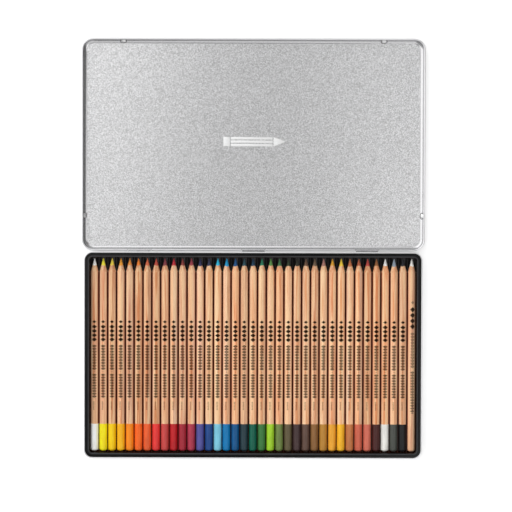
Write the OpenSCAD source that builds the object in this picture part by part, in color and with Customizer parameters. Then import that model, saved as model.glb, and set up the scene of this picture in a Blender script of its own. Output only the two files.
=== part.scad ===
// Flat hinged tin of coloured pencils, drawn open: the lid lies back behind the base.
// Origin: middle of the base's underside. +X to the right, +Y towards the lid, +Z up.

/* [Pencils] */
// Diameter of a pencil
pencil_d = 7; // [6.6:0.1:7.4]
// Length of a sharpened pencil
pencil_len = 175; // [165:1:185]
// Space between neighbouring pencils
pencil_gap = 0.98; // [0.9:0.02:1.5]
// Diameter of the coloured lead
lead_d = 4; // [3:0.1:4.6]
// Glue line between a lead and its wood
glue_gap = 0.05; // [0.03:0.01:0.1]
// Length of the sharpened cone
cone_len = 12.3; // [9:0.1:16]
// Radius of the blunt point of a lead
point_r = 0.3; // [0.2:0.05:0.6]
// Height of the rounded end
dome_h = 1.6; // [1:0.1:2.5]

/* [Pencil tray] */
// Thickness of the moulded tray
tray_wall = 0.6; // [0.45:0.05:0.8]
// Room between a pencil and its groove
groove_clear = 0.3; // [0.15:0.05:0.35]
// How far the ribs between the grooves stop below the pencils' middle
rib_drop = 0.6; // [0.3:0.1:1.5]
// Room beside the outermost pencils
side_room = 0.6; // [0.5:0.05:2]
// Room in front of the points
point_room = 1; // [0.5:0.1:3]
// Room behind the rounded ends
end_room = 0.7; // [0.5:0.1:3]
// Width of the rounded lip round the well
lip_w = 2; // [1.8:0.1:3]
// Width of the flat flange outside the lip
flange_w = 1.9; // [1:0.1:3]
// Room between the tray and the base's floor
tray_seat = 0.2; // [0.1:0.05:0.4]
// Room between the flange and the base's wall
flange_clear = 0.15; // [0.1:0.05:0.4]

/* [Tin] */
// Height of the closed tin
closed_h = 14; // [13:0.5:18]
// Thickness of the tinplate
sheet = 0.35; // [0.25:0.05:0.45]
// Inner radius of the bend between a panel and its wall
bend_r = 2.8; // [2:0.1:2.8]
// Outer radius of the base's rolled rim
rim_r = 0.6; // [0.55:0.05:0.8]
// Corner radius of the base, over its rolled rim
corner_r = 8; // [7.5:0.5:14]
// How far the tray's lip lies below the rim
lip_below_rim = 0.4; // [0.2:0.1:1]

/* [Lid] */
// Room between the base's rim and the lid's wall
lid_clear = 0.8; // [0.75:0.05:1]
// Room between the base's rim and the closed lid's panel
rim_to_panel = 1.4; // [1.35:0.05:2]
// Radius of the ball that presses a closing dimple into the lid's bend
dimple_r = 5; // [3:0.5:6]
// How far a dimple stands in from the bend
dimple_h = 0.5; // [0.2:0.05:0.5]
// Distance between the two dimples of the front wall
dimple_pitch = 236; // [100:1:260]
// Distance of the side dimples from the hinge line
dimple_back = 31; // [20:1:150]

/* [Hinge] */
// Distance from one hinge to the next
hinge_pitch = 103; // [60:1:115]
// Width of a knuckle
knuckle_w = 20.5; // [12:0.5:30]
// Gap at each end of a knuckle
window_gap = 0.9; // [0.5:0.1:2]
// Diameter of a hinge pin
pin_d = 0.8; // [0.8:0.1:1.2]
// Length of pin held by the lid at each end of a knuckle
pin_hold = 6; // [3:0.5:10]
// Radial room between a pin and its knuckle
pin_run = 0.06; // [0.03:0.01:0.1]
// Radial room between a pin and the lid's rolled rim
pin_room = 0.05; // [0.05:0.01:0.15]
// Height of the foot that fixes a knuckle to the base's wall
foot_h = 3; // [1.5:0.5:3]
// Room between a knuckle and the top of its window
window_room = 0.5; // [0.3:0.1:1]

/* [Hidden] */
$fn = 64;

// The lacquer colour of each pencil, from the left
PENCILS = [
    ["white", [0.95, 0.94, 0.91]],
    ["lemon", [0.96, 0.9, 0.11]],
    ["golden_yellow", [0.99, 0.82, 0.06]],
    ["amber", [0.99, 0.72, 0.11]],
    ["orange", [1, 0.55, 0.11]],
    ["red_orange", [1, 0.42, 0.13]],
    ["vermilion", [0.91, 0.38, 0.19]],
    ["light_red", [0.89, 0.23, 0.22]],
    ["muted_red", [0.78, 0.29, 0.28]],
    ["deep_red", [0.72, 0.11, 0.14]],
    ["dark_red", [0.63, 0.16, 0.22]],
    ["crimson", [0.69, 0.22, 0.31]],
    ["violet_blue", [0.35, 0.35, 0.63]],
    ["dark_blue", [0.13, 0.28, 0.53]],
    ["pale_cyan", [0.5, 0.8, 0.88]],
    ["cerulean", [0.06, 0.47, 0.69]],
    ["blue", [0.06, 0.35, 0.55]],
    ["slate", [0.17, 0.25, 0.28]],
    ["teal_green", [0.06, 0.39, 0.31]],
    ["green", [0.24, 0.47, 0.25]],
    ["lime", [0.63, 0.82, 0.19]],
    ["olive_green", [0.44, 0.52, 0.28]],
    ["olive_brown", [0.38, 0.35, 0.25]],
    ["violet_brown", [0.28, 0.22, 0.22]],
    ["grey_brown", [0.38, 0.3, 0.28]],
    ["bronze", [0.53, 0.38, 0.22]],
    ["ochre", [0.72, 0.52, 0.22]],
    ["honey", [0.91, 0.64, 0.2]],
    ["yellow_ochre", [0.97, 0.71, 0.16]],
    ["terracotta", [0.75, 0.47, 0.28]],
    ["rust", [0.78, 0.39, 0.31]],
    ["salmon", [0.82, 0.42, 0.35]],
    ["maroon", [0.35, 0.17, 0.17]],
    ["silver_grey", [0.86, 0.86, 0.83]],
    ["dark_grey", [0.31, 0.32, 0.3]],
    ["black", [0.16, 0.15, 0.17]],
];
coloured = len(PENCILS);
// The last place in the tray holds the uncoloured blending pencil
pencil_count = coloured + 1;
wood_colour = [0.85, 0.66, 0.47];

function two_digits(n) = n < 10 ? str("0", n) : str(n);
function pencil_name(i) =
    i < coloured ? str("pencil_", two_digits(i + 1), "_", PENCILS[i][0]) : "pencil_blending";

pencil_nodes = [for (i = [0 : pencil_count - 1]) pencil_name(i)];
HINGES = [["left", -1], ["middle", 0], ["right", 1]];
pin_nodes = [for (h = HINGES) str("hinge_pin_", h[0])];

// Pencils side by side, and the well that holds them
pencil_r = pencil_d / 2;
lead_r = lead_d / 2;
pencil_pitch = pencil_d + pencil_gap;
first_x = -(pencil_count - 1) / 2 * pencil_pitch;
well_w = (pencil_count - 1) * pencil_pitch + pencil_d + 2 * side_room;
well_d = pencil_len + point_room + end_room;
end_y = -well_d / 2 + end_room;

// The base goes round the tray: its wall's inner face lies two rim radii in from its edge
rim_w = 2 * rim_r;
tray_edge = flange_w + lip_w;
flange_inset = rim_w + flange_clear;
tray_w = well_w + 2 * tray_edge;
tray_d = well_d + 2 * tray_edge;
tin_w = tray_w + 2 * flange_inset;
tin_d = tray_d + 2 * flange_inset;

// Heights
bend_out = bend_r + sheet;
rim_z = closed_h - sheet - rim_to_panel;
lip_z = rim_z - lip_below_rim;
flange_z = lip_z - lip_w / 2;
groove_r = pencil_r + groove_clear;
tray_z = sheet + tray_seat;
pencil_z = tray_z + tray_wall + groove_r;
rib_z = pencil_z - rib_drop;

// The lid's rolled rim holds the hinge pins, so its middle is the hinge line
pin_r = pin_d / 2;
roll_r = pin_r + pin_room + sheet;
lid_edge = lid_clear + 2 * roll_r;
lid_w = tin_w + 2 * lid_edge;
lid_d = tin_d + 2 * lid_edge;
lid_corner_r = corner_r + lid_edge;
hinge_y = tin_d / 2 + lid_clear + roll_r;
hinge_z = closed_h / 2;
lid_y = 2 * hinge_y;
knuckle_r = pin_r + pin_run + sheet;
base_wall_y = tin_d / 2 - rim_w + sheet;
knuckle_reach = hinge_y - base_wall_y;
window_w = knuckle_w + 2 * window_gap;
window_depth = knuckle_r + window_room;

// A dimple is the cap of a ball, halfway round the lid's bend
dimple_out = (bend_r - dimple_h + dimple_r) / sqrt(2);
cut = 1; // how far a cutting shape runs past what it cuts

// A rectangle w by d with round corners, about the origin
module rounded_rect(w, d, r) {
    square([w - 2 * r, d], center = true);
    square([w, d - 2 * r], center = true);
    for (sx = [-1, 1], sy = [-1, 1])
        translate([sx * (w / 2 - r), sy * (d / 2 - r)])
            circle(r);
}

// Sweeps a section round a rounded rectangle. The section's x is 0 on the outline and negative inside.
module swept(w, d, r) {
    for (turn = [0, 180])
        rotate([0, 0, turn]) {
            rotate([90, 0, 0])
                linear_extrude(height = d - 2 * r, center = true)
                    translate([w / 2, 0])
                        children();
            rotate([90, 0, 90])
                linear_extrude(height = w - 2 * r, center = true)
                    translate([d / 2, 0])
                        children();
            translate([w / 2 - r, d / 2 - r, 0])
                rotate_extrude(angle = 90)
                    translate([r, 0])
                        children();
            translate([r - w / 2, d / 2 - r, 0])
                rotate([0, 0, 90])
                    rotate_extrude(angle = 90)
                        translate([r, 0])
                            children();
        }
}

module ring(outer, inner) {
    difference() {
        circle(outer);
        circle(inner);
    }
}

// Section of a tinplate wall: a bend up from the panel, a straight wall and a rim rolled outwards
module wall_section(roll, roll_z) {
    inner = -2 * roll;
    translate([-roll, roll_z])
        ring(roll, roll - sheet);
    translate([inner, bend_out])
        square([sheet, roll_z - bend_out]);
    translate([inner + sheet - bend_out, bend_out])
        intersection() {
            ring(bend_out, bend_r);
            translate([0, -bend_out])
                square(bend_out);
        }
}

// A drawn tinplate pan w by d over its rim
module pan(w, d, r, roll, roll_z) {
    inset = 2 * roll - sheet + bend_out;
    swept(w, d, r)
        wall_section(roll, roll_z);
    linear_extrude(height = sheet)
        rounded_rect(w - 2 * inset, d - 2 * inset, r - inset);
}

// Section of a knuckle about the hinge line: a foot on the base's wall, a tongue and an eye
module knuckle_section() {
    translate([-knuckle_reach, -knuckle_r])
        square([knuckle_reach, sheet]);
    translate([-knuckle_reach, -knuckle_r - foot_h])
        square([sheet, foot_h + sheet]);
    circle(knuckle_r);
}

module base_shell() {
    color("silver")
        difference() {
            union() {
                pan(tin_w, tin_d, corner_r, rim_r, rim_z - rim_r);
                for (h = HINGES)
                    translate([h[1] * hinge_pitch, hinge_y, hinge_z])
                        rotate([90, 0, 90])
                            linear_extrude(height = knuckle_w, center = true)
                                knuckle_section();
            }
            for (h = HINGES)
                translate([h[1] * hinge_pitch, hinge_y, hinge_z])
                    rotate([0, 90, 0])
                        cylinder(h = knuckle_w + 2 * cut, r = pin_r + pin_run, center = true);
        }
}

// Places a dimple's parts where each is pressed: at the middle of the bend's arc, +X pointing out
module at_dimples() {
    inset = 2 * roll_r + bend_r;
    for (sx = [-1, 1]) {
        translate([sx * dimple_pitch / 2, lid_y + lid_d / 2 - inset, bend_out])
            rotate([0, 0, 90])
                children();
        translate([sx * (lid_w / 2 - inset), hinge_y + dimple_back, bend_out])
            rotate([0, 0, sx > 0 ? 0 : 180])
                children();
    }
}

module dimple_ball(r) {
    translate([dimple_out, 0, -dimple_out])
        sphere(r);
}

// The part of a dimple's ball that stands in from the bend, down to a quarter of the sheet
module dimple_cap() {
    intersection() {
        dimple_ball(dimple_r);
        rotate([90, 0, 0])
            cylinder(h = 2 * dimple_r, r = bend_r + sheet / 4, center = true);
    }
}

module lid_shell() {
    color("silver")
        difference() {
            union() {
                translate([0, lid_y, 0])
                    pan(lid_w, lid_d, lid_corner_r, roll_r, hinge_z);
                at_dimples()
                    dimple_cap();
            }
            at_dimples()
                dimple_ball(dimple_r - sheet);
            for (h = HINGES)
                translate([
                    h[1] * hinge_pitch - window_w / 2,
                    hinge_y - roll_r - cut,
                    hinge_z - window_depth
                ])
                    cube([window_w, 2 * roll_r + 2 * cut, window_depth + roll_r + cut]);
        }
}

// Section of the tray's edge: a flat flange, a rounded lip and the well's wall
module tray_section() {
    lip_r = lip_w / 2;
    translate([-flange_w - tray_wall, flange_z - tray_wall])
        square([flange_w + tray_wall, tray_wall]);
    translate([-flange_w - lip_r, flange_z])
        intersection() {
            ring(lip_r, lip_r - tray_wall);
            translate([-lip_r, 0])
                square([lip_w, lip_r]);
        }
    translate([-tray_edge, tray_z])
        square([tray_wall, flange_z - tray_z]);
}

// Section across the grooves
module groove_section() {
    difference() {
        intersection() {
            union() {
                for (i = [0 : pencil_count - 1])
                    translate([first_x + i * pencil_pitch, pencil_z])
                        circle(groove_r + tray_wall);
                for (side = [-1, 1])
                    translate([side * (well_w / 2 - side_room), rib_z - rib_drop])
                        square([2 * pencil_r, 2 * rib_drop], center = true);
            }
            translate([-well_w, tray_z])
                square([2 * well_w, rib_z - tray_z]);
        }
        for (i = [0 : pencil_count - 1])
            translate([first_x + i * pencil_pitch, pencil_z])
                circle(groove_r);
    }
}

module pencil_tray() {
    corner = corner_r - flange_inset;
    color([0.08, 0.08, 0.09]) {
        swept(tray_w, tray_d, corner)
            tray_section();
        // The grooved floor ends halfway through the well's wall
        intersection() {
            rotate([90, 0, 0])
                linear_extrude(height = tray_d, center = true)
                    groove_section();
            linear_extrude(height = rim_z)
                rounded_rect(well_w + tray_wall, well_d + tray_wall, corner - tray_edge + tray_wall / 2);
        }
    }
}

module hinge_pin(side) {
    color("gainsboro")
        translate([side * hinge_pitch, hinge_y, hinge_z])
            rotate([0, 90, 0])
                cylinder(h = window_w + 2 * pin_hold, r = pin_r, center = true);
}

// Half the outline of a sharpened pencil: radius across, length up
module pencil_outline() {
    ball_r = (pencil_r * pencil_r + dome_h * dome_h) / (2 * dome_h);
    difference() {
        polygon([
            [0, 0],
            [pencil_r, 0],
            [pencil_r, pencil_len - cone_len],
            [point_r, pencil_len],
            [0, pencil_len]
        ]);
        // The rounded end
        difference() {
            square([pencil_r + cut, dome_h]);
            translate([0, ball_r])
                circle(ball_r);
        }
    }
}

// Wooden casing and lead: two solids with a glue line between them
module pencil(i) {
    lead_start = dome_h;
    translate([first_x + i * pencil_pitch, end_y, pencil_z])
        rotate([-90, 0, 0]) {
            color(wood_colour)
                rotate_extrude()
                    difference() {
                        pencil_outline();
                        translate([0, lead_start])
                            square([lead_r + glue_gap, pencil_len]);
                    }
            color(i < coloured ? PENCILS[i][1] : wood_colour)
                rotate_extrude()
                    intersection() {
                        pencil_outline();
                        translate([0, lead_start + glue_gap])
                            square([lead_r, pencil_len]);
                    }
        }
}

base_shell();
lid_shell();
pencil_tray();
for (h = HINGES)
    hinge_pin(h[1]);
for (i = [0 : pencil_count - 1])
    pencil(i);
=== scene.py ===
"""Looks of a flat tin of coloured pencils: its pencils, tinplate, tray, emblem, light and camera.

The frame holds the tin open, seen from straight above: the base with its pencils in front, the lid laid back
behind it. Everything here is in metres, with +X to the right, +Y towards the lid and +Z up.
"""

# flake8: noqa: E402, E702
import logging
import math
import random
from collections.abc import Callable, Iterator
from contextlib import contextmanager
from dataclasses import dataclass, field
from enum import Enum
from typing import Any

import bmesh
import bpy
from mathutils import Matrix, Vector


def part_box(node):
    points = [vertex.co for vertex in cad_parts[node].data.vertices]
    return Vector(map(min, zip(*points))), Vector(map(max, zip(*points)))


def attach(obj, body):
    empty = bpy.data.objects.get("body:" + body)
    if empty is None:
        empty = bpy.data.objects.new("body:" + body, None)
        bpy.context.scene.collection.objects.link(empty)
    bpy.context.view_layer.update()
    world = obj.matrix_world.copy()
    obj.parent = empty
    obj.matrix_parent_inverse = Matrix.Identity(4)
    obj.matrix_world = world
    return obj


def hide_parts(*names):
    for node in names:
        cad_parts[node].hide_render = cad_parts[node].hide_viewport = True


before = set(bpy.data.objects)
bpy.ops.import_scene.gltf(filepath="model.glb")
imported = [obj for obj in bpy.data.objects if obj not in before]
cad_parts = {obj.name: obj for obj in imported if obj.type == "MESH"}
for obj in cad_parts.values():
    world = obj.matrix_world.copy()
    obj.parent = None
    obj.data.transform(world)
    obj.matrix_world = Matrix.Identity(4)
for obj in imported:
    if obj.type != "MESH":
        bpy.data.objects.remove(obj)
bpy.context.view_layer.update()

log = logging.getLogger("pencil_tin")

MM = 0.001
SEED = 37
SAME_PLACE = 0.01 * MM  # points nearer than this lie in one place
FACING = 0.9  # a normal with this much of an axis in it faces that way
USUAL_NOISE = (0.3, 0.7)  # where most of a noise lies
MIX_FACTOR, MIX_FIRST, MIX_SECOND, MIX_RESULT = 0, 6, 7, 2  # a Mix node's sockets for colours
BLACK = (0.0, 0.0, 0.0, 1.0)
WHITE = (1.0, 1.0, 1.0, 1.0)
Colour = tuple[float, float, float]
Point = tuple[float, float, float]
Span = tuple[float, float]
Piece = bpy.types.Object
Material = bpy.types.Material
Socket = bpy.types.NodeSocket


def linear(colour: Colour) -> tuple[float, float, float, float]:
    """Turns a colour as seen on a screen into the linear one that shaders take.

    Args:
        colour: Red, green and blue as seen, from 0 to 1.

    Returns:
        The linear colour, with an alpha of 1.
    """
    red, green, blue = (c / 12.92 if c <= 0.04045 else ((c + 0.055) / 1.055) ** 2.4 for c in colour)
    return red, green, blue, 1.0


def shade(colour: Colour, factor: float) -> Colour:
    """Darkens or lightens a colour as seen.

    Args:
        colour: Red, green and blue, from 0 to 1.
        factor: Below 1 for darker, above 1 for lighter.

    Returns:
        The new colour, kept at 1 or under.
    """
    red, green, blue = (min(1.0, c * factor) for c in colour)
    return red, green, blue


# Modelling


def deselect_all() -> None:
    """Leaves nothing selected and nothing active."""
    bpy.ops.object.select_all(action="DESELECT")
    bpy.context.view_layer.objects.active = None


@contextmanager
def editing(piece: Piece) -> Iterator[None]:
    """Holds a piece in edit mode, alone in the selection.

    Args:
        piece: The mesh object to edit.

    Yields:
        Nothing.
    """
    deselect_all()
    piece.select_set(True)
    bpy.context.view_layer.objects.active = piece
    bpy.ops.object.mode_set(mode="EDIT")
    try:
        yield
    finally:
        bpy.ops.object.mode_set(mode="OBJECT")


class Kind(Enum):
    """Kinds of things that are picked on a mesh."""

    FACE = "faces"
    EDGE = "edges"


def pick(piece: Piece, kind: Kind, test: Callable[[Any], bool]) -> None:
    """Selects the faces or edges that pass a test, and nothing else. The piece is in edit mode.

    Args:
        piece: The mesh object being edited.
        kind: What is picked.
        test: Says whether a face or an edge is wanted.
    """
    bpy.ops.mesh.select_mode(type=kind.name)
    bpy.ops.mesh.select_all(action="DESELECT")
    mesh = bmesh.from_edit_mesh(piece.data)
    for element in getattr(mesh, kind.value):
        element.select_set(test(element))
    bmesh.update_edit_mesh(piece.data)


def grow_ring(along: float, factor: float) -> None:
    """Extrudes the selected cap along Y and scales its new ring about the Y axis.

    Args:
        along: How far the cap moves along +Y.
        factor: The new ring's radius over the old one's.
    """
    bpy.ops.mesh.extrude_region_move(TRANSFORM_OT_translate={"value": (0, along, 0)})
    bpy.ops.transform.resize(value=(factor, 1, factor), center_override=(0, 0, 0))


def place_mesh(piece: Piece, matrix: Matrix) -> None:
    """Moves a piece's mesh, so that its object stays at the origin.

    Args:
        piece: The mesh object.
        matrix: Where the mesh goes.
    """
    piece.data.transform(matrix)
    piece.data.update()


def copy_piece(piece: Piece, name: str) -> Piece:
    """Copies a piece with a mesh of its own.

    Args:
        piece: The mesh object to copy.
        name: The name of the copy.

    Returns:
        The copy, in the scene.
    """
    twin = piece.copy()
    twin.data = piece.data.copy()
    twin.name = twin.data.name = name
    bpy.context.scene.collection.objects.link(twin)
    return twin


# Materials


class Recipe:
    """A procedural material in the making, with short ways to add and join its nodes."""

    def __init__(self, name: str) -> None:
        """Starts a material with one Principled shader.

        Args:
            name: The material's name.
        """
        self.material = bpy.data.materials.new(name)
        self.material.use_nodes = True
        self.tree = self.material.node_tree
        self.shader = self.tree.nodes["Principled BSDF"]

    def join(self, value: Any, socket: Socket) -> None:
        """Links a socket to an input, or sets the input to a plain value.

        Args:
            value: An output socket, a number or a colour.
            socket: The input that takes it.
        """
        if isinstance(value, Socket):
            self.tree.links.new(value, socket)
        else:
            socket.default_value = value

    def finish(self, **inputs: Any) -> Material:
        """Sets the shader's inputs.

        Args:
            **inputs: Values or sockets by input name, with _ for a space.

        Returns:
            The finished material.
        """
        for name, value in inputs.items():
            self.join(value, self.shader.inputs[name.replace("_", " ")])
        return self.material

    def place(self, stretch: tuple[float, float, float] = (1, 1, 1)) -> Socket:
        """Gives the piece's own coordinates, in metres, stretched for a grain.

        Args:
            stretch: What each coordinate is multiplied by.

        Returns:
            The coordinates.
        """
        coordinates = self.tree.nodes.new("ShaderNodeTexCoord").outputs["Object"]
        mapping = self.tree.nodes.new("ShaderNodeMapping")
        mapping.inputs["Scale"].default_value = stretch
        self.join(coordinates, mapping.inputs["Vector"])
        return mapping.outputs["Vector"]

    def wrap(self) -> tuple[Socket, Socket]:
        """Reads the UV map that wraps round a pencil.

        Returns:
            Metres across from the pencil's top line, and along from its tip.
        """
        node = self.tree.nodes.new("ShaderNodeUVMap")
        node.uv_map = "wrap"
        across, along, _ = self.axes(node.outputs["UV"])
        return across, along

    def axes(self, vector: Socket) -> tuple[Socket, ...]:
        """Takes a vector apart.

        Args:
            vector: The vector.

        Returns:
            Its X, Y and Z.
        """
        parts = self.tree.nodes.new("ShaderNodeSeparateXYZ")
        self.join(vector, parts.inputs[0])
        return tuple(parts.outputs)

    def noise(self, vector: Socket, scale: float, detail: float = 2.0, twist: float = 0.0) -> Socket:
        """Adds soft noise.

        Args:
            vector: Where it is read.
            scale: How many grains there are to a metre of the vector.
            detail: How many finer layers it has.
            twist: How far it is distorted.

        Returns:
            The noise, about 0.5 on average.
        """
        texture = self.tree.nodes.new("ShaderNodeTexNoise")
        self.join(vector, texture.inputs["Vector"])
        texture.inputs["Scale"].default_value = scale
        texture.inputs["Detail"].default_value = detail
        texture.inputs["Distortion"].default_value = twist
        return texture.outputs["Fac"]

    def math(self, operation: str, first: Any, second: Any = 0.0, third: Any = 0.0) -> Socket:
        """Adds a Math node.

        Args:
            operation: The node's operation.
            first: Its first value or socket.
            second: Its second one.
            third: Its third one.

        Returns:
            The result.
        """
        node = self.tree.nodes.new("ShaderNodeMath")
        node.operation = operation
        for value, socket in zip((first, second, third), node.inputs, strict=True):
            self.join(value, socket)
        return node.outputs[0]

    def spread(self, value: Socket, low: float, high: float, to_low: float, to_high: float) -> Socket:
        """Maps a range smoothly onto another one, and stops at its ends.

        Args:
            value: What is mapped.
            low: Where the old range starts.
            high: Where it ends.
            to_low: Where the new range starts.
            to_high: Where it ends.

        Returns:
            The mapped value.
        """
        node = self.tree.nodes.new("ShaderNodeMapRange")
        node.interpolation_type = "SMOOTHSTEP"
        for socket, given in zip(node.inputs, (value, low, high, to_low, to_high), strict=False):
            self.join(given, socket)
        return node.outputs[0]

    def vary(self, noise: Socket, to_low: float, to_high: float) -> Socket:
        """Maps a noise's usual range smoothly onto another one."""
        return self.spread(noise, *USUAL_NOISE, to_low, to_high)

    def mix(self, factor: Any, first: Any, second: Any, blend: str = "MIX") -> Socket:
        """Mixes two colours.

        Args:
            factor: How much of the second one there is.
            first: The first colour or socket.
            second: The second one.
            blend: The node's blend type.

        Returns:
            The mixed colour.
        """
        node = self.tree.nodes.new("ShaderNodeMix")
        node.data_type = "RGBA"
        node.blend_type = blend
        self.join(factor, node.inputs[MIX_FACTOR])
        self.join(first, node.inputs[MIX_FIRST])
        self.join(second, node.inputs[MIX_SECOND])
        return node.outputs[MIX_RESULT]

    def attribute(self, name: str) -> Socket:
        """Reads a colour that is stored on the mesh.

        Args:
            name: The name it is stored under.

        Returns:
            The colour.
        """
        node = self.tree.nodes.new("ShaderNodeAttribute")
        node.attribute_name = name
        return node.outputs["Color"]

    def bump(self, height: Socket, depth: float) -> Socket:
        """Turns a height into a normal.

        Args:
            height: The height, from 0 to 1.
            depth: How deep a height of 1 is, in metres.

        Returns:
            The normal.
        """
        node = self.tree.nodes.new("ShaderNodeBump")
        node.inputs["Distance"].default_value = depth
        self.join(height, node.inputs["Height"])
        return node.outputs["Normal"]


@dataclass(frozen=True)
class TinplateFinish:
    """Satin tinplate: frosted on the flat panel, drawn smooth on bends and walls, paler and satin on the rim.

    The panel has painted shade that makes it a little darker in the middle. Each dimple has a painted highlight
    inside a ring of painted shade, and left and right dimples mirror each other. The spans say where one look
    passes into the next: off the ball of a dimple, above the panel, and away from the middle.
    """

    name: str
    rim_from: float
    dimples: tuple[Point, ...] = ()
    dimple_radius: float = 5 * MM
    # spans over which each dimple's ring of painted shade and its painted highlight fade out
    painted_dimple_shade_fade: Span = (0.5 * MM, 0.4 * MM)
    painted_dimple_highlight_fade: Span = (0.06 * MM, 0.03 * MM)
    panel_top: float = 0.35 * MM
    bend: Span = (0.002 * MM, 0.02 * MM)
    rim_fade: float = 0.3 * MM
    tone: Colour = (0.94, 0.94, 0.945)
    mottle: float = 0.75
    # painted shade: how much of the panel's tone is left in its middle, darker than at its sides
    middle: float = 0.81
    painted_middle_shade_fade: Span = (10 * MM, 150 * MM)
    grain_size: float = 0.72 * MM
    grain_depth: float = 0.155 * MM
    fine_part: float = 0.3
    drawing_part: float = 0.04
    drawn_tone: Colour = (0.82, 0.82, 0.825)
    rim_tone: Colour = (0.9, 0.9, 0.905)
    # painted shade in a ring round each dimple
    painted_dimple_shade: Colour = (0.3, 0.3, 0.31)
    satin: float = 0.3
    satin_play: float = 0.03
    drawn_satin: float = 0.17
    rim_satin: float = 0.42
    cap_satin: float = 0.5

    def make(self) -> Material:
        """Makes the material.

        Returns:
            The material.
        """
        r = Recipe(self.name)
        place = r.place()
        grain = r.noise(place, 1 / self.grain_size, detail=1.5)
        fine = r.noise(place, 3 / self.grain_size, detail=1.0)
        drawing = r.noise(r.place((1, 1, 0.1)), 4 / self.grain_size, detail=1.0)
        across, ahead, up = r.axes(place)
        aside = r.math("ABSOLUTE", across)
        drawn = r.spread(up, *(self.panel_top + above for above in self.bend), 0, 1)
        rim = r.spread(up, self.rim_from, self.rim_from + self.rim_fade, 0, 1)
        painted_light = r.spread(aside, *self.painted_middle_shade_fade, 1 - self.middle, 0)
        frost = r.math("MULTIPLY_ADD", fine, self.fine_part, grain)
        frost = r.math("MULTIPLY", frost, r.math("SUBTRACT", 1.0, drawn))
        height = r.math("MULTIPLY_ADD", r.math("MULTIPLY", drawing, drawn), self.drawing_part, frost)
        rough = r.vary(fine, self.satin - self.satin_play, self.satin + self.satin_play)
        rough = r.math("MULTIPLY_ADD", drawn, self.drawn_satin - self.satin, rough)
        rough = r.math("MULTIPLY_ADD", rim, self.rim_satin - self.drawn_satin, rough)
        tone = r.mix(r.vary(grain, 0, 1), linear(shade(self.tone, self.mottle)), linear(self.tone))
        # painted shade: the panel is darkened towards its middle
        tone = r.mix(painted_light, tone, BLACK)
        tone = r.mix(drawn, tone, linear(self.drawn_tone))
        tone = r.mix(rim, tone, linear(self.rim_tone))
        for dimple in self.dimples:
            reach = self.reach(r, (aside, ahead, up), dimple)
            edge, painted_dimple_highlight = (
                r.spread(reach, *(self.dimple_radius + out for out in fade), 0, 1)
                for fade in (self.painted_dimple_shade_fade, self.painted_dimple_highlight_fade)
            )
            # painted shade in a ring round each dimple, and a painted white highlight on it
            tone = r.mix(edge, tone, linear(self.painted_dimple_shade))
            tone = r.mix(painted_dimple_highlight, tone, WHITE)
            rough = r.math("MAXIMUM", rough, r.math("MULTIPLY", painted_dimple_highlight, self.cap_satin))
        return r.finish(Base_Color=tone, Metallic=1.0, Roughness=rough, Normal=r.bump(height, self.grain_depth))

    def reach(self, r: Recipe, point: tuple[Socket, ...], dimple: Point) -> Socket:
        """Measures the distance to the middle of the ball that presses a dimple.

        Args:
            r: The material.
            point: The point's X, Y and Z, with X mirrored to the right-hand side.
            dimple: The middle of the ball on that side.

        Returns:
            The distance.
        """
        total: Any = 0.0
        for value, middle in zip(point, dimple, strict=True):
            offset = r.math("SUBTRACT", value, middle)
            total = r.math("MULTIPLY_ADD", offset, offset, total)
        return r.math("SQRT", total)


@dataclass(frozen=True)
class WireFinish:
    """Drawn steel wire with faint lines along it and a few stains."""

    name: str = "pin_wire"
    tone: Colour = (0.8, 0.8, 0.79)
    stain: float = 0.7
    stain_part: float = 0.35
    line: float = 0.06 * MM
    line_depth: float = 0.008 * MM

    def make(self) -> Material:
        """Makes the material.

        Returns:
            The material.
        """
        r = Recipe(self.name)
        lines = r.noise(r.place((0.02, 1, 1)), 1 / self.line)
        stained = r.spread(r.noise(r.place(), 400, detail=3.0), 0.4, 0.75, 0, self.stain_part)
        return r.finish(
            Base_Color=r.mix(stained, linear(self.tone), linear(shade(self.tone, self.stain))),
            Metallic=1.0,
            Roughness=r.vary(lines, 0.22, 0.36),
            Normal=r.bump(lines, self.line_depth),
        )


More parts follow.
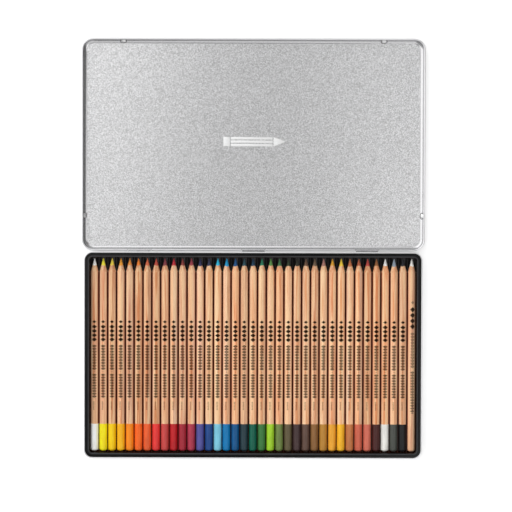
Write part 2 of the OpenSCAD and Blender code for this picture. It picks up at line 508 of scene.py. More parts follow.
@dataclass(frozen=True)
class TrayFinish:
    """Glossy black moulded plastic, with a painted grey highlight on its lip, worn patchy, grey dust down in its
    well, and painted red-brown shade there.

    The spans go down from the top of the lip. The painted red-brown shade lies between the pencils' shafts, short
    of their points.
    """

    lip_top: float
    name: str = "tray_plastic"
    tone: Colour = (0.03, 0.03, 0.034)
    # painted highlight on the lip, worn patchy
    painted_light: Colour = (0.21, 0.21, 0.22)
    lip_fade: Span = (0.3 * MM, 0.05 * MM)
    well: Colour = (0.15, 0.14, 0.14)
    well_fade: Span = (7 * MM, 2 * MM)
    # painted shade: red-brown colour in the well between the pencils' shafts
    painted_red_shade: Colour = (0.26, 0.11, 0.05)
    painted_red_shade_to: float = 76 * MM
    painted_red_shade_fade: float = 4 * MM
    speck: Colour = (0.2, 0.15, 0.12)
    speck_part: float = 0.5
    scuff_depth: float = 0.006 * MM

    def make(self) -> Material:
        """Makes the material.

        Returns:
            The material.
        """
        r = Recipe(self.name)
        place = r.place()
        _, ahead, up = r.axes(place)
        ripple = r.noise(place, 90)
        grit = r.noise(place, 2600, detail=1.0)
        scuffs = r.noise(r.place((1, 0.12, 1)), 1500, twist=0.4)
        lip, depth = (
            r.spread(up, *(self.lip_top - below for below in fade), 0, 1)
            for fade in (self.lip_fade, self.well_fade)
        )
        # painted highlight on the lip, broken up by noise like wear
        lip_wear_and_highlight = r.math("MULTIPLY", lip, r.spread(ripple, 0.3, 0.6, 0.7, 1.0))
        # painted red-brown shade between the shafts, giving way to grey towards the points
        past_painted_red_shade = r.spread(ahead, self.painted_red_shade_to - self.painted_red_shade_fade, self.painted_red_shade_to, 0, 1)
        tone = r.mix(depth, r.mix(past_painted_red_shade, linear(self.painted_red_shade), linear(self.well)), linear(self.tone))
        tone = r.mix(r.spread(grit, 0.7, 0.78, 0, self.speck_part), tone, linear(self.speck))
        return r.finish(
            Base_Color=r.mix(lip_wear_and_highlight, tone, linear(self.painted_light)),
            Roughness=r.spread(scuffs, 0.35, 0.75, 0.17, 0.26),
            Specular_IOR_Level=0.25,
            Normal=r.bump(r.math("MULTIPLY_ADD", ripple, 0.5, scuffs), self.scuff_depth),
        )


@dataclass(frozen=True)
class PrintRun:
    """One run of plain lozenges printed along a pencil, between two distances from its tip.

    The pitch and half the width are a lozenge's sizes, and aside is how far it stands off the top line. The
    stroke is the part of a lozenge that is printed, from its outline inwards, and the ink how dark it is.
    """

    start: float
    end: float
    pitch: float
    half_width: float
    stroke: float
    ink: float
    aside: float = 0.0

    def draw(self, r: Recipe, across: Socket, along: Socket) -> Socket:
        """Adds the run to a material.

        Args:
            r: The material.
            across: Distance from the pencil's top line, along its surface.
            along: Distance from the pencil's tip.

        Returns:
            How much ink there is, from 0 to 1.
        """
        inside = r.math("COMPARE", along, (self.start + self.end) / 2, (self.end - self.start) / 2)
        step = r.math("PINGPONG", r.math("SUBTRACT", along, self.start), self.pitch / 2)
        reach = r.math("ABSOLUTE", r.math("SUBTRACT", step, self.pitch / 4))
        side = r.math("ABSOLUTE", r.math("SUBTRACT", across, self.aside))
        lozenge = r.math(
            "ADD",
            r.math("DIVIDE", side, self.half_width),
            r.math("DIVIDE", reach, self.pitch / 4),
        )
        line = r.math("COMPARE", lozenge, 1 - self.stroke / 2, self.stroke / 2)
        return r.math("MULTIPLY", r.math("MULTIPLY", inside, line), self.ink)


PENCIL_PRINT = (
    PrintRun(56.0 * MM, 58.8 * MM, 5.6 * MM, 1.9 * MM, 1.0, 1.0),
    PrintRun(60.0 * MM, 75.4 * MM, 7.7 * MM, 2.5 * MM, 1.0, 1.0),
    PrintRun(78.2 * MM, 101.2 * MM, 5.11 * MM, 2.3 * MM, 0.8, 0.95),
    PrintRun(102.2 * MM, 103.4 * MM, 2.4 * MM, 0.7 * MM, 1.0, 0.7),
    PrintRun(104.4 * MM, 126.4 * MM, 4.89 * MM, 2.3 * MM, 0.85, 0.92),
    PrintRun(129.6 * MM, 137.4 * MM, 2.6 * MM, 0.9 * MM, 0.7, 0.6, -0.5 * MM),
)
BLENDING_PRINT = (
    PrintRun(37.8 * MM, 40.8 * MM, 6.0 * MM, 1.4 * MM, 0.9, 0.6, 0.8 * MM),
    PrintRun(43.2 * MM, 63.6 * MM, 10.2 * MM, 2.4 * MM, 1.0, 1.0, 0.8 * MM),
    PrintRun(66.4 * MM, 98.8 * MM, 5.4 * MM, 2.0 * MM, 0.7, 0.8, 0.8 * MM),
    PrintRun(101.6 * MM, 140.0 * MM, 5.0 * MM, 2.1 * MM, 0.8, 0.85, 0.8 * MM),
)


@dataclass(frozen=True)
class CedarFinish:
    """Bare cedar: each half of a pencil has its own tone, with grain along it.

    The shaft has painted light that makes its flanks paler and painted shade that makes its sides darker, and has
    the print on top. Freshly cut wood has rings instead. The spans go across from the pencil's top line.
    """

    name: str
    prints: tuple[PrintRun, ...] = ()
    freshly_cut: bool = False
    streak: float = 0.55 * MM
    late_wood: Colour = (0.91, 0.78, 0.68)
    sapwood: Colour = (1.0, 0.85, 0.66)
    pore: Colour = (0.5, 0.3, 0.2)
    shaving: Colour = (0.98, 0.83, 0.66)
    # painted light: the colour the flanks are lightened towards
    painted_flank_light: Colour = (1.0, 0.87, 0.71)
    painted_flank_light_fade: Span = (0.8 * MM, 2.0 * MM)
    painted_flank_light_part: float = 0.32
    # painted shade: the sides, down towards the gaps between pencils, are darkened and reddened by this
    side: Colour = (0.6, 0.22, 0.07)
    painted_side_shade_fade: Span = (3.1 * MM, 4.6 * MM)
    ink: Colour = (0.04, 0.02, 0.02)
    sheen: float = 0.12
    grain_depth: float = 0.02 * MM

    def make(self) -> Material:
        """Makes the material.

        Returns:
            The material.
        """
        r = Recipe(self.name)
        lines = r.noise(r.place((1, 0.018, 1)), 1 / self.streak, detail=3.0, twist=0.15)
        pores = r.noise(r.place((1, 0.05, 1)), 5 / self.streak, detail=1.0)
        wood = self.grain(r, lines, pores)
        height = r.math("MULTIPLY_ADD", pores, -0.4, lines)
        sheen: Any = self.sheen
        if self.freshly_cut:
            rings = r.noise(r.place((0.1, 1, 0.1)), 2800, detail=1.0)
            wood = r.mix(r.spread(rings, 0.4, 0.7, 0.1, 0.35), wood, linear(self.shaving))
            height = r.math("MULTIPLY_ADD", rings, 0.6, height)
        else:
            across, along = r.wrap()
            marks = self.stamp(r, across, along)
            wood = r.mix(marks, self.paint_flank_light_and_side_shade(r, wood, across), linear(self.ink))
            sheen = r.math("MULTIPLY_ADD", marks, -self.sheen, self.sheen)
        return r.finish(
            Base_Color=wood,
            Roughness=r.vary(lines, 0.5, 0.62),
            Specular_IOR_Level=sheen,
            Normal=r.bump(height, self.grain_depth),
        )

    def grain(self, r: Recipe, lines: Socket, pores: Socket) -> Socket:
        """Draws the grain.

        Args:
            r: The material.
            lines: Noise drawn out into the lines of the grain.
            pores: Noise drawn out into short pores.

        Returns:
            The colour of the wood.
        """
        slat = r.attribute("cedar")
        broad = r.noise(r.place((1, 0.03, 1)), 0.3 / self.streak, twist=0.3)
        dark = r.mix(1.0, slat, linear(self.late_wood), "MULTIPLY")
        wood = r.mix(r.spread(lines, 0.42, 0.68, 0, 0.7), slat, dark)
        wood = r.mix(r.spread(broad, 0.5, 0.58, 0, 0.6), wood, linear(self.sapwood))
        wood = r.mix(r.spread(broad, 0.46, 0.38, 0, 0.8), wood, dark)
        return r.mix(r.spread(pores, 0.62, 0.72, 0, 0.3), wood, linear(self.pore))

    def paint_flank_light_and_side_shade(self, r: Recipe, wood: Socket, across: Socket) -> Socket:
        """Paints light on the shaft's flanks, making them paler, and shade on its sides, making them darker.

        Args:
            r: The material.
            wood: The colour of the wood.
            across: Distance from the pencil's top line, along its surface.

        Returns:
            The new colour.
        """
        aside = r.math("ABSOLUTE", across)
        # painted light: paler flanks
        wood = r.mix(r.spread(aside, *self.painted_flank_light_fade, 0, self.painted_flank_light_part), wood, linear(self.painted_flank_light))
        # painted shade: darker, redder sides
        darker = r.mix(1.0, wood, linear(self.side), "MULTIPLY")
        return r.mix(r.spread(aside, *self.painted_side_shade_fade, 0, 1), wood, darker)

    def stamp(self, r: Recipe, across: Socket, along: Socket) -> Socket:
        """Prints the runs.

        Args:
            r: The material.
            across: Distance from the pencil's top line, along its surface.
            along: Distance from the pencil's tip.

        Returns:
            How much ink there is, from 0 to 1, a little worn.
        """
        marks = self.prints[0].draw(r, across, along)
        for run in self.prints[1:]:
            marks = r.math("MAXIMUM", marks, run.draw(r, across, along))
        worn = r.noise(r.place((1, 0.4, 1)), 2600)
        return r.math("MULTIPLY", marks, r.spread(worn, 0.25, 0.6, 0.84, 1.0))


@dataclass(frozen=True)
class LacquerFinish:
    """Smooth opaque lacquer of a dipped end, a little uneven in its colour and its gloss."""

    name: str
    tone: Colour
    thick: float = 0.98
    thin: float = 1.07
    peel_depth: float = 0.002 * MM

    def make(self) -> Material:
        """Makes the material.

        Returns:
            The material.
        """
        r = Recipe(self.name)
        flow = r.noise(r.place((1, 0.2, 1)), 420)
        peel = r.noise(r.place(), 1500, detail=1.0)
        deep, pale = (linear(shade(self.tone, factor)) for factor in (self.thick, self.thin))
        return r.finish(
            Base_Color=r.mix(r.vary(flow, 0, 1), deep, pale),
            Roughness=r.vary(peel, 0.32, 0.38),
            Specular_IOR_Level=0.27,
            Normal=r.bump(peel, self.peel_depth),
        )


@dataclass(frozen=True)
class LeadFinish:
    """Waxy coloured lead with the fine turning marks of its sharpener and paler crumbs."""

    name: str
    tone: Colour
    crumbly: float = 1.14
    mark_depth: float = 0.02 * MM

    def make(self) -> Material:
        """Makes the material.

        Returns:
            The material.
        """
        r = Recipe(self.name)
        rings = r.noise(r.place((0.15, 1, 0.15)), 3200, detail=1.0)
        crumbs = r.noise(r.place(), 2400)
        pale = linear(shade(self.tone, self.crumbly))
        return r.finish(
            Base_Color=r.mix(r.spread(crumbs, 0.35, 0.7, 0, 1), linear(self.tone), pale),
            Roughness=r.vary(rings, 0.36, 0.5),
            Specular_IOR_Level=0.25,
            Normal=r.bump(r.math("MULTIPLY_ADD", rings, 0.8, crumbs), self.mark_depth),
        )


# Pencils


class Cedar(Enum):
    """Tones of the cedar that the pencils are cut from."""

    RUSSET = (0.86, 0.61, 0.46)
    HONEY = (0.91, 0.67, 0.52)
    PEACH = (0.95, 0.72, 0.57)
    PALE = (0.97, 0.77, 0.62)
    BLOND = (1.0, 0.81, 0.67)
    ASH = (0.93, 0.7, 0.56)


class Part(Enum):
    """Parts of a pencil's surface, each with its own material."""

    WOOD = 0
    CUT = 1
    LEAD = 2
    LACQUER = 3


@dataclass(frozen=True)
class Pencil:
    """One pencil of the row: its lacquer if its end is dipped, the cedar it is made of, and its core."""

    name: str
    lacquer: Colour | None
    cedar: Cedar
    core: Colour

    @property
    def dipped(self) -> bool:
        """Whether its end is dipped in lacquer."""
        return self.lacquer is not None


WHITE_CORE = (1.0, 1.0, 0.98)
ROW = (
    Pencil("white", (1.0, 0.995, 0.97), Cedar.HONEY, WHITE_CORE),
    Pencil("lemon", (1.0, 0.91, 0.08), Cedar.HONEY, (1.0, 0.9, 0.25)),
    Pencil("golden_yellow", (1.0, 0.79, 0.03), Cedar.RUSSET, (1.0, 0.83, 0.3)),
    Pencil("amber", (1.0, 0.72, 0.09), Cedar.PEACH, (0.96, 0.62, 0.2)),
    Pencil("orange", (1.0, 0.54, 0.1), Cedar.HONEY, (0.92, 0.57, 0.25)),
    Pencil("red_orange", (1.0, 0.41, 0.12), Cedar.RUSSET, (0.93, 0.5, 0.18)),
    Pencil("vermilion", (0.9, 0.37, 0.18), Cedar.RUSSET, (0.85, 0.43, 0.29)),
    Pencil("light_red", (0.88, 0.22, 0.21), Cedar.PEACH, (0.75, 0.32, 0.26)),
    Pencil("muted_red", (0.78, 0.28, 0.27), Cedar.HONEY, (0.52, 0.25, 0.28)),
    Pencil("deep_red", (0.72, 0.1, 0.13), Cedar.BLOND, (0.75, 0.2, 0.24)),
    Pencil("dark_red", (0.63, 0.15, 0.21), Cedar.RUSSET, (0.53, 0.25, 0.23)),
    Pencil("crimson", (0.68, 0.21, 0.3), Cedar.HONEY, (0.62, 0.26, 0.3)),
    Pencil("violet_blue", (0.33, 0.33, 0.61), Cedar.PEACH, (0.2, 0.21, 0.34)),
    Pencil("dark_blue", (0.11, 0.27, 0.52), Cedar.BLOND, (0.21, 0.23, 0.33)),
    Pencil("pale_cyan", (0.49, 0.79, 0.88), Cedar.PALE, (0.2, 0.75, 0.92)),
    Pencil("cerulean", (0.04, 0.46, 0.69), Cedar.PEACH, (0.15, 0.6, 0.8)),
    Pencil("blue", (0.04, 0.33, 0.54), Cedar.PEACH, (0.15, 0.33, 0.53)),
    Pencil("slate", (0.14, 0.23, 0.26), Cedar.PEACH, (0.18, 0.3, 0.34)),
    Pencil("teal_green", (0.03, 0.37, 0.29), Cedar.PALE, (0.13, 0.25, 0.34)),
    Pencil("green", (0.22, 0.45, 0.23), Cedar.BLOND, (0.19, 0.5, 0.38)),
    Pencil("lime", (0.62, 0.81, 0.17), Cedar.PALE, (0.37, 0.58, 0.3)),
    Pencil("olive_green", (0.42, 0.5, 0.26), Cedar.PEACH, (0.26, 0.44, 0.29)),
    Pencil("olive_brown", (0.37, 0.33, 0.23), Cedar.PALE, (0.2, 0.25, 0.18)),
    Pencil("violet_brown", (0.27, 0.2, 0.2), Cedar.PEACH, (0.2, 0.2, 0.17)),
    Pencil("grey_brown", (0.37, 0.28, 0.24), Cedar.PALE, (0.44, 0.33, 0.26)),
    Pencil("bronze", (0.53, 0.37, 0.21), Cedar.PEACH, (0.45, 0.37, 0.3)),
    Pencil("ochre", (0.72, 0.51, 0.2), Cedar.PALE, (0.67, 0.47, 0.43)),
    Pencil("honey", (0.91, 0.64, 0.19), Cedar.HONEY, (0.88, 0.64, 0.2)),
    Pencil("yellow_ochre", (0.97, 0.71, 0.15), Cedar.PALE, (1.0, 0.8, 0.25)),
    Pencil("terracotta", (0.75, 0.46, 0.27), Cedar.BLOND, (0.74, 0.44, 0.28)),
    Pencil("rust", (0.78, 0.38, 0.29), Cedar.PEACH, (0.7, 0.38, 0.26)),
    Pencil("salmon", (0.81, 0.42, 0.34), Cedar.RUSSET, (0.72, 0.29, 0.26)),
    Pencil("maroon", (0.28, 0.13, 0.12), Cedar.HONEY, (0.58, 0.37, 0.22)),
    Pencil("silver_grey", (0.91, 0.905, 0.88), Cedar.PEACH, WHITE_CORE),
    Pencil("dark_grey", (0.29, 0.3, 0.28), Cedar.PEACH, (0.58, 0.63, 0.68)),
    Pencil("black", (0.1, 0.095, 0.1), Cedar.PALE, (0.16, 0.16, 0.18)),
    Pencil("blending", None, Cedar.ASH, (1.0, 0.98, 0.94)),
)


@dataclass
class PencilForm:
    """The pencil that all the others are copied from, along +Y with its blunt end at the origin.

    Its radius and length come from the frame. The rest are the real pencil's own sizes. The tip's rings are
    parts of the point's radius. The lead's edge is a sum of waves, each a count round the pencil and a weight.
    """

    radius: float
    length: float
    cone: float = 12.3 * MM
    lead_radius: float = 2.0 * MM
    point_radius: float = 0.3 * MM
    point_sink: float = 0.05 * MM
    tip_rings: tuple[float, float, float] = (1.6, 0.9, 0.4)
    dome: float = 1.6 * MM
    lacquer_from: float = 25.0 * MM
    lacquer_coat: float = 0.05 * MM
    lacquer_edge: float = 0.12 * MM
    wave: float = 0.38 * MM
    wave_room: float = 0.1 * MM
    waves: tuple[tuple[int, float], ...] = ((3, 1.0), (5, 0.5))
    sides: int = 48
    dome_rings: int = 6
    end_round: float = 0.35 * MM
    end_steps: int = 4
    smooth_below: float = 11.0

    @property
    def shoulder(self) -> float:
        """Where the cone starts."""
        return self.length - self.cone

    @property
    def lead_from(self) -> float:
        """Where the lead comes out of the wood."""
        return self.cone_at(self.lead_radius)

    def cone_at(self, radius: float) -> float:
        """How far along the pencil its cone has a given radius."""
        return self.shoulder + self.cone * (self.radius - radius) / (self.radius - self.point_radius)

    def part_at(self, low: float, high: float) -> Part:
        """Says which part of the surface a face is on.

        Args:
            low: Where the face starts, along the pencil.
            high: Where it ends.

        Returns:
            The part.
        """
        margin = 2 * self.wave + self.wave_room
        if low > self.lead_from - margin:
            return Part.LEAD
        if low > self.shoulder - margin:
            return Part.CUT
        if high < self.lacquer_from + SAME_PLACE:
            return Part.LACQUER
        return Part.WOOD

    def build(self) -> Piece:
        """Builds the pencil from a cylinder.

        Returns:
            The pencil, smooth, without materials.
        """
        deselect_all()
        shaft = self.shoulder - self.dome
        bpy.ops.mesh.primitive_cylinder_add(
            vertices=self.sides,
            radius=self.radius,
            depth=shaft,
            location=(0, self.dome + shaft / 2, 0),
            rotation=(-math.pi / 2, 0, 0),
        )
        pencil = bpy.context.object
        pencil.name = "pencil_form"
        bpy.ops.object.transform_apply(location=True, rotation=True, scale=True)
        with editing(pencil):
            self.sharpen(pencil)
            self.round_end(pencil)
            self.dip(pencil)
        bpy.ops.object.shade_smooth_by_angle(angle=math.radians(self.smooth_below))
        return pencil

    def sharpen(self, pencil: Piece) -> None:
        """Draws the front cap out into the cone and its blunt point.

        Args:
            pencil: The pencil, in edit mode.
        """
        pick(pencil, Kind.FACE, lambda face: face.normal.y > FACING)
        neck, tip, flat = (self.point_radius * part for part in self.tip_rings)
        rings = [
            (self.lead_from, self.lead_radius),
            (self.cone_at(neck), neck),
            (self.cone_at(self.point_radius) - self.point_sink, tip),
            (self.length, flat),
        ]
        self.draw_rings(rings, self.shoulder)
        bpy.ops.mesh.poke()

    def round_end(self, pencil: Piece) -> None:
        """Rounds the back cap to part of a ball, and softens its rim.

        Args:
            pencil: The pencil, in edit mode.
        """
        pick(pencil, Kind.FACE, lambda face: face.normal.y < -FACING)
        ball = (self.radius**2 + self.dome**2) / (2 * self.dome)
        half = math.asin(self.radius / ball)
        rings = []
        for step in range(1, self.dome_rings):
            turn = half * (1 - step / self.dome_rings)
            rings.append((ball - ball * math.cos(turn), ball * math.sin(turn)))
        self.draw_rings(rings, self.dome)
        bpy.ops.mesh.poke()
        pick(pencil, Kind.EDGE, lambda edge: all(abs(v.co.y - self.dome) < SAME_PLACE for v in edge.verts))
        bpy.ops.mesh.bevel(offset=self.end_round, segments=self.end_steps, affect="EDGES")

    def draw_rings(self, rings: list[tuple[float, float]], start: float) -> None:
        """Extrudes the selected cap through a list of rings.

        Args:
            rings: Each ring's place along the pencil, and its radius.
            start: Where the cap is now.
        """
        radius = self.radius
        for place, new_radius in rings:
            grow_ring(place - start, new_radius / radius)
            start, radius = place, new_radius

    def dip(self, pencil: Piece) -> None:
        """Thickens the blunt end by a coat of lacquer with a sloping edge.

        Args:
            pencil: The pencil, in edit mode.
        """
        for inset in (0.0, self.lacquer_edge):
            bpy.ops.mesh.select_all(action="SELECT")
            bpy.ops.mesh.bisect(plane_co=(0, self.lacquer_from - inset, 0), plane_no=(0, 1, 0))
        pick(pencil, Kind.FACE, lambda face: face.calc_center_median().y < self.lacquer_from - self.lacquer_edge)
        thicker = 1 + self.lacquer_coat / self.radius
        bpy.ops.transform.resize(value=(thicker, 1, thicker), center_override=(0, 0, 0))


@dataclass
class PencilRow:
    """All the pencils in the tray, each a copy of one form with its own wood, lead and lacquer.

    Each is glued from two halves that differ a little in tone and warmth, with the seam turned a little.
    """

    form: PencilForm
    seam_turn: float = 0.5
    half_tone: Span = (-0.09, 0.07)
    half_warmth: Span = (-0.08, 0.07)
    randomness: random.Random = field(default_factory=lambda: random.Random(SEED))

    def build(self) -> None:
        """Builds and dresses every pencil of the row."""
        printed = CedarFinish("cedar_printed", PENCIL_PRINT).make()
        plain = CedarFinish("cedar_blending", BLENDING_PRINT).make()
        cut = CedarFinish("cedar_cut", freshly_cut=True).make()
        pattern = self.form.build()
        nodes = sorted(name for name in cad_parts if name.startswith("pencil_") and name != "pencil_tray")
        for node, pencil in zip(nodes, ROW, strict=True):
            piece = copy_piece(pattern, f"{node}_piece")
            self.slide_lead_edge(piece)
            self.store_wrap(piece)
            self.store_cedar(piece, pencil.cedar)
            wood = printed if pencil.dipped else plain
            lacquer = LacquerFinish(f"lacquer_{pencil.name}", pencil.lacquer).make() if pencil.lacquer else wood
            lead = LeadFinish(f"lead_{pencil.name}", pencil.core).make()
            self.dress(piece, {Part.WOOD: wood, Part.CUT: cut, Part.LEAD: lead, Part.LACQUER: lacquer})
            low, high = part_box(node)
            place_mesh(piece, Matrix.Translation(((low.x + high.x) / 2, low.y, (low.z + high.z) / 2)))
            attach(piece, f"body_{node}")
            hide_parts(node)
            log.info("built %s", piece.name)
        bpy.data.objects.remove(pattern)

    def slide_lead_edge(self, piece: Piece) -> None:
        """Slides the ring between wood and lead along the cone, into a slightly wavy edge.

        Args:
            piece: One pencil, still at the origin.
        """
        form = self.form
        draw = self.randomness.uniform
        waves = [(count, weight, draw(0, math.tau)) for count, weight in form.waves]
        weights = sum(weight for _, weight in form.waves)
        shift = draw(-form.wave, form.wave)
        for vertex in piece.data.vertices:
            if abs(vertex.co.y - form.lead_from) > SAME_PLACE:
                continue
            angle = math.atan2(vertex.co.x, vertex.co.z)
            wave = sum(weight * math.sin(count * angle + phase) for count, weight, phase in waves)
            slide = shift + form.wave * wave / weights
            radius = form.lead_radius - slide * (form.radius - form.point_radius) / form.cone
            vertex.co = Vector((math.sin(angle) * radius, vertex.co.y + slide, math.cos(angle) * radius))

    def store_wrap(self, piece: Piece) -> None:
        """Stores a UV map that wraps round the pencil: metres across from its top line, and along from its tip.

        Args:
            piece: One pencil, still at the origin.
        """
        mesh = piece.data
        for old in list(mesh.uv_layers):
            mesh.uv_layers.remove(old)
        layer = mesh.uv_layers.new(name="wrap")
        for face in mesh.polygons:
            middle = math.atan2(face.center.x, face.center.z)
            for corner in face.loop_indices:
                co = mesh.vertices[mesh.loops[corner].vertex_index].co
                turn = math.atan2(co.x, co.z) - middle
                angle = middle + (turn + math.pi) % math.tau - math.pi
                layer.data[corner].uv = (angle * self.form.radius, self.form.length - co.y)

    def store_cedar(self, piece: Piece, cedar: Cedar) -> None:
        """Stores the wood's colour, a little different for each of the glued halves.

        Args:
            piece: One pencil, still at the origin.
            cedar: The tone of its wood.
        """
        draw = self.randomness.uniform
        seam = draw(-self.seam_turn, self.seam_turn)
        halves = []
        for side in (-1, 1):
            red, green, blue = shade(cedar.value, 1 + draw(*self.half_tone) * side)
            warm = draw(*self.half_warmth)
            halves.append(linear((red, green - warm / 2, blue - warm)))
        mesh = piece.data
        colours = mesh.color_attributes.new(name="cedar", type="FLOAT_COLOR", domain="CORNER")
        for face in mesh.polygons:
            angle = math.atan2(face.center.x, face.center.z) - seam
            half = halves[0] if math.sin(angle) < 0 else halves[1]
            for corner in face.loop_indices:
                colours.data[corner].color = half

    def dress(self, piece: Piece, materials: dict[Part, Material]) -> None:
        """Gives each face of a pencil its material.

        Args:
            piece: One pencil, still at the origin.
            materials: What each part of the surface is made of.
        """
        mesh = piece.data
        mesh.materials.clear()
        for part in Part:
            mesh.materials.append(materials[part])
        for face in mesh.polygons:
            places = [mesh.vertices[i].co.y for i in face.vertices]
            face.material_index = self.form.part_at(min(places), max(places)).value


# The tin


@dataclass(frozen=True)
class Tin:
    """The tinplate base and lid with their hinge pins, and the tray. Their shapes are the frame's own.

    The sizes say where the rolled rims and the lid's pressed dimples are, so that their finish follows them.
    """

    base_roll: float = 1.2 * MM
    lid_roll: float = 1.6 * MM
    dimple_out: float = 0.762 * MM
    dimple_up: float = 31.8 * MM
    dimple_x: float = 118 * MM
    dimple_z: float = -2.012 * MM

    def build(self) -> None:
        """Dresses the frame's nodes."""
        base_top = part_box("base_shell")[1].z
        low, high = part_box("lid_shell")
        side = (high.x + self.dimple_out, low.y + self.dimple_up, self.dimple_z)
        front = (self.dimple_x, high.y + self.dimple_out, self.dimple_z)
        self.dress("base_shell", TinplateFinish("tinplate_base", base_top - self.base_roll).make())
        self.dress("lid_shell", TinplateFinish("tinplate_lid", high.z - self.lid_roll, (side, front)).make())
        self.dress("pencil_tray", TrayFinish(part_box("pencil_tray")[1].z).make())
        wire = WireFinish().make()
        for node in sorted(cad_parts):
            if node.startswith("hinge_pin_"):
                self.dress(node, wire)

    def dress(self, node: str, material: Material) -> None:
        """Gives a frame node its material.

        Args:
            node: The node's name.
            material: What it is made of.
        """
        for material_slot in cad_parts[node].material_slots:
            material_slot.material = material
        log.info("dressed %s", node)


@dataclass
class LidEmblem:
    """A plain pencil outline raised on the inside of the lid, where such tins carry an embossed mark.

    Its cone, butt and tip are given as parts of its height.
    """

    centre: tuple[float, float] = (0.6 * MM, 193.3 * MM)
    length: float = 56 * MM
    height: float = 8.4 * MM
    cone: float = 1.25
    butt: float = 0.7
    tip: float = 0.08
    rise: float = 0.28 * MM
    gap: float = 0.8 * MM
    edge: float = 0.16 * MM
    edge_steps: int = 3
    smooth_below: float = 40.0
    panel: float = 0.35 * MM

    @property
    def finish(self) -> TinplateFinish:
        """The lid's tinplate, burnished, with the height of the rim out of reach."""
        return TinplateFinish(
            "tinplate_emblem",
            rim_from=1.0,
            panel_top=self.panel + self.rise,
            tone=(0.97, 0.97, 0.97),
            mottle=0.94,
            middle=1.0,
            satin=0.45,
            grain_depth=0.14 * MM,
        )

    def build(self) -> None:
        """Builds the emblem's raised pads as one piece on the lid."""
        cone, butt = self.cone * self.height, self.butt * self.height
        shaft = self.length - cone - butt - 2 * self.gap
        third = (self.height - 2 * self.gap) / 3
        left = -self.length / 2
        pads = [self.pad(left + butt / 2, 0, butt, self.height)]
        start = left + butt + self.gap
        for row in (-1, 0, 1):
            pads.append(self.pad(start + shaft / 2, row * (third + self.gap), shaft, third))
        pads.append(self.pad(start + shaft + self.gap + cone / 2, 0, cone, self.height, self.tip))
        deselect_all()
        for pad in pads:
            pad.select_set(True)
        bpy.context.view_layer.objects.active = pads[0]
        bpy.ops.object.join()
        emblem = bpy.context.object
        emblem.name = emblem.data.name = "lid_emblem"
        place_mesh(emblem, Matrix.Translation((*self.centre, self.panel)))
        emblem.data.materials.clear()
        emblem.data.materials.append(self.finish.make())
        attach(emblem, "lid")
        log.info("built %s", emblem.name)

    def pad(self, x: float, y: float, width: float, depth: float, taper: float = 1.0) -> Piece:
        """Builds one raised pad with soft edges.

        Args:
            x: Its middle, across.
            y: Its middle, up the lid.
            width: Its size across.
            depth: Its size up the lid.
            taper: The right end's depth over the left end's.

        Returns:
            The pad.
        """
        deselect_all()
        bpy.ops.mesh.primitive_cube_add(size=1, location=(x, y, 0))
        pad = bpy.context.object
        pad.scale = (width, depth, 2 * self.rise)
        bpy.ops.object.transform_apply(location=True, rotation=True, scale=True)
        with editing(pad):
            pick(pad, Kind.FACE, lambda face: face.normal.x > FACING)
            bpy.ops.transform.resize(value=(1, taper, 1), center_override=(x, y, 0))
            pick(pad, Kind.EDGE, lambda edge: any(v.co.z > 0 for v in edge.verts))
            bpy.ops.mesh.bevel(offset=self.edge, segments=self.edge_steps, affect="EDGES")
        bpy.ops.object.shade_smooth_by_angle(angle=math.radians(self.smooth_below))
        return pad


# Studio


@dataclass(frozen=True)
class Softbox:
    """A square area lamp that looks at a point."""

    name: str
    place: Point
    side: float
    power: float
    target: Point = (0.0, 0.09, 0.0)

    def build(self) -> None:
        """Adds the lamp."""
        lamp = bpy.data.lights.new(self.name, "AREA")
        lamp.shape = "SQUARE"
        lamp.size = self.side
        lamp.energy = self.power
        holder = bpy.data.objects.new(self.name, lamp)
        holder.location = self.place
        aim = Vector(self.target) - Vector(self.place)
        holder.rotation_euler = aim.to_track_quat("-Z", "Y").to_euler()
        bpy.context.scene.collection.objects.link(holder)


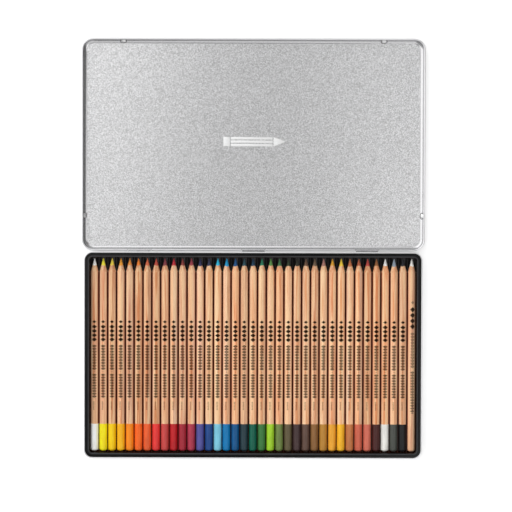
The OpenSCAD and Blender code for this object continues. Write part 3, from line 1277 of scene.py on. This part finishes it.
@dataclass
class Studio:
    """A pale floor, a room that is pale low down at the back left and dim high up at the front right, and lamps."""

    floor_side: float = 40.0
    floor_gap: float = 0.2 * MM
    paper: Colour = (0.93, 0.93, 0.93)
    pale_side: Point = (-0.6, 0.55, -0.58)
    pale: float = 0.95
    dim: float = 0.04
    floor_lift: float = 0.42
    lamps: tuple[Softbox, ...] = (
        Softbox("key", (-1.0, 0.75, 1.2), 3.0, 27.0),
        Softbox("fill", (0.6, -1.1, 1.1), 2.5, 15.0),
        Softbox("side", (0.85, -0.1, 2.0), 1.1, 4.2),
    )

    def build(self) -> None:
        """Builds the floor, the room and the lamps."""
        self.lay_floor()
        self.light_room()
        for lamp in self.lamps:
            lamp.build()

    def lay_floor(self) -> None:
        """Lays a pale floor that keeps the object's shadow and shows white to the camera and in metal."""
        deselect_all()
        bpy.ops.mesh.primitive_plane_add(size=self.floor_side, location=(0, 0, -self.floor_gap))
        floor = bpy.context.object
        floor.name = "floor"
        r = Recipe("floor_paper")
        rays = r.tree.nodes.new("ShaderNodeLightPath").outputs
        seen = r.math("MAXIMUM", rays["Is Camera Ray"], rays["Is Glossy Ray"])
        seen = r.math("MAXIMUM", seen, rays["Is Transmission Ray"])
        paper = r.finish(
            Base_Color=linear(self.paper),
            Roughness=0.9,
            Specular_IOR_Level=0.0,
            Emission_Color=WHITE,
            Emission_Strength=r.math("MULTIPLY", seen, self.floor_lift),
        )
        floor.data.materials.append(paper)

    def light_room(self) -> None:
        """Lights the room by direction, from its dim side to its pale side."""
        world = bpy.data.worlds.new("room")
        world.use_nodes = True
        tree = world.node_tree
        background = tree.nodes["Background"]
        coordinates = tree.nodes.new("ShaderNodeTexCoord")
        towards = tree.nodes.new("ShaderNodeVectorMath")
        towards.operation = "DOT_PRODUCT"
        towards.inputs[1].default_value = self.pale_side
        level = tree.nodes.new("ShaderNodeMapRange")
        tree.links.new(coordinates.outputs["Generated"], towards.inputs[0])
        tree.links.new(towards.outputs["Value"], level.inputs["Value"])
        for name, value in {"From Min": -1.0, "From Max": 1.0, "To Min": self.dim, "To Max": self.pale}.items():
            level.inputs[name].default_value = value
        tree.links.new(level.outputs[0], background.inputs["Strength"])
        background.inputs["Color"].default_value = WHITE
        bpy.context.scene.world = world


@dataclass
class PhotoCamera:
    """The camera, almost straight above the open tin. Its turns are in degrees."""

    place: Point = (2.5 * MM, 127.3 * MM, 1600 * MM)
    tilt: float = 1.35
    roll: float = -0.16
    picture_side: int = 512
    focal_pixels: float = 1761.1
    sensor: float = 36.0
    sight: Span = (0.05, 50.0)

    def build(self) -> None:
        """Adds the camera and makes it the scene's own."""
        lens = bpy.data.cameras.new("camera")
        lens.sensor_width = self.sensor
        lens.lens = self.focal_pixels / self.picture_side * self.sensor
        lens.clip_start, lens.clip_end = self.sight
        holder = bpy.data.objects.new("camera", lens)
        turn = Matrix.Rotation(math.radians(self.roll), 3, "Z") @ Matrix.Rotation(math.radians(self.tilt), 3, "X")
        holder.matrix_world = Matrix.Translation(self.place) @ turn.transposed().to_4x4()
        bpy.context.scene.collection.objects.link(holder)
        bpy.context.scene.camera = holder


def main() -> None:
    """Builds the camera, the tin, the pencils and the studio."""
    logging.basicConfig(level=logging.INFO, format="%(name)s: %(message)s")
    bpy.context.scene.view_settings.view_transform = "Standard"
    PhotoCamera().build()
    Tin().build()
    LidEmblem().build()
    low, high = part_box("pencil_01_white")
    PencilRow(PencilForm(radius=(high.x - low.x) / 2, length=high.y - low.y)).build()
    Studio().build()


if __name__ == "__main__":
    main()
